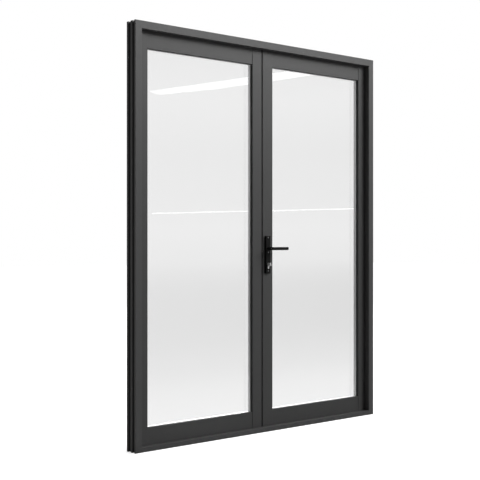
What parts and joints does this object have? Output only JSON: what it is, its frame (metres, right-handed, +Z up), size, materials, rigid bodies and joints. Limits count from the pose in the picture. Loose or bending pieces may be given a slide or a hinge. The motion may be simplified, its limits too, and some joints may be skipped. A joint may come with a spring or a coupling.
{
  "type": "double door",
  "caption": "Outward opening glazed aluminium double door in its frame, with lever lock on one leaf and flush bolts on the other.",
  "frame": {"origin": "middle of the sill's underside, at half the depth of the frame", "axes": "+X along the width, from the passive to the active leaf's hinges; +Y towards the side the leaves open to; +Z up"},
  "size_m": [1.69, 0.164, 2.09],
  "materials": {
    "frame_coating": "matt charcoal powder coat",
    "leaf_coating": "matt charcoal powder coat",
    "glass": "clear float glass",
    "spacer_metal": "satin",
    "black_rubber": "matt",
    "black_plastic": "matt",
    "insulating_plastic": "matt",
    "hinge_coating": "matt charcoal powder coat",
    "hinge_steel": "turned",
    "raw_aluminium": "mill finish",
    "plate_steel": "brushed",
    "lock_steel": "zinc plated",
    "bolt_steel": "nickel plated",
    "handle_coating": "satin black powder coat",
    "screw_steel": "blackened",
    "cylinder_nickel": "satin nickel"
  },
  "bodies": {
    "frame": {"head": "frame_coating", "left_jamb": "frame_coating", "right_jamb": "frame_coating", "sill": "frame_coating", "groove_insulation": "insulating_plastic", "corner_cleats": "raw_aluminium", "frame_seal": "black_rubber", "head_bolt_keep": "plate_steel", "sill_bolt_keep": "plate_steel", "left_frame_hinges": "hinge_coating", "right_frame_hinges": "hinge_coating", "left_hinge_pins": "hinge_steel", "right_hinge_pins": "hinge_steel"},
    "left_leaf": {"left_hinge_stile": "leaf_coating", "left_top_rail": "leaf_coating", "left_bottom_rail": "leaf_coating", "left_front_pane": "glass", "left_rear_pane": "glass", "left_spacer": "spacer_metal", "left_edge_sealant": "black_rubber", "left_front_gasket": "black_rubber", "left_rear_gasket": "black_rubber", "left_glazing_beads": "leaf_coating", "left_setting_blocks": "black_plastic", "left_meeting_stile": "leaf_coating", "left_stile_caps": "black_plastic", "left_door_hinges": "hinge_coating", "meeting_seal": "black_rubber", "strike_plate": "plate_steel"},
    "right_leaf": {"right_hinge_stile": "leaf_coating", "right_top_rail": "leaf_coating", "right_bottom_rail": "leaf_coating", "right_front_pane": "glass", "right_rear_pane": "glass", "right_spacer": "spacer_metal", "right_edge_sealant": "black_rubber", "right_front_gasket": "black_rubber", "right_rear_gasket": "black_rubber", "right_glazing_beads": "leaf_coating", "right_setting_blocks": "black_plastic", "right_meeting_stile": "leaf_coating", "right_stile_caps": "black_plastic", "right_door_hinges": "hinge_coating", "lock_case": "lock_steel", "lock_faceplate": "plate_steel", "inside_backplate": "handle_coating", "outside_backplate": "handle_coating", "backplate_screws": "screw_steel", "cylinder_body": "cylinder_nickel"},
    "lever_set": {"inside_lever": "handle_coating", "outside_lever": "handle_coating", "spindle": "lock_steel", "lock_follower": "lock_steel"},
    "latch": {"latch_bolt": "bolt_steel"},
    "deadbolt": {"deadbolt": "bolt_steel"},
    "thumb_turn": {"thumb_turn": "cylinder_nickel", "cylinder_core": "cylinder_nickel"},
    "top_bolt": {"top_flush_bolt": "bolt_steel"},
    "bottom_bolt": {"bottom_flush_bolt": "bolt_steel"}
  },
  "joints": [
    {"name": "left_leaf_hinge", "type": "hinge", "parent": "frame", "child": "left_leaf", "pos_m": [-0.82375, 0.0525, 1.045], "axis": [0, 0, 1], "range_deg": [0, 110]},
    {"name": "right_leaf_hinge", "type": "hinge", "parent": "frame", "child": "right_leaf", "pos_m": [0.82375, 0.0525, 1.045], "axis": [0, 0, -1], "range_deg": [0, 110]},
    {"name": "lever_turn", "type": "hinge", "parent": "right_leaf", "child": "lever_set", "pos_m": [0.031, 0.0205, 0.982], "axis": [0, 1, 0], "range_deg": [0, 45], "stiffness_Nm_per_rad": 1, "springref_deg": -28.65},
    {"name": "latch_slide", "type": "slide", "parent": "right_leaf", "child": "latch", "axis": [-1, 0, 0], "range_m": [0, 0.0115]},
    {"name": "thumb_turn_turn", "type": "hinge", "parent": "right_leaf", "child": "thumb_turn", "pos_m": [0.031, 0.0205, 0.897], "axis": [0, 1, 0], "range_deg": [0, 360]},
    {"name": "deadbolt_slide", "type": "slide", "parent": "right_leaf", "child": "deadbolt", "axis": [-1, 0, 0], "range_m": [0, 0.02]},
    {"name": "top_bolt_slide", "type": "slide", "parent": "left_leaf", "child": "top_bolt", "axis": [0, 0, 1], "range_m": [0, 0.012]},
    {"name": "bottom_bolt_slide", "type": "slide", "parent": "left_leaf", "child": "bottom_bolt", "axis": [0, 0, -1], "range_m": [0, 0.012]}
  ],
  "couplings": [
    {"joint": "thumb_turn_turn", "follows": "deadbolt_slide", "rad_per_m": 314.15}
  ]
}
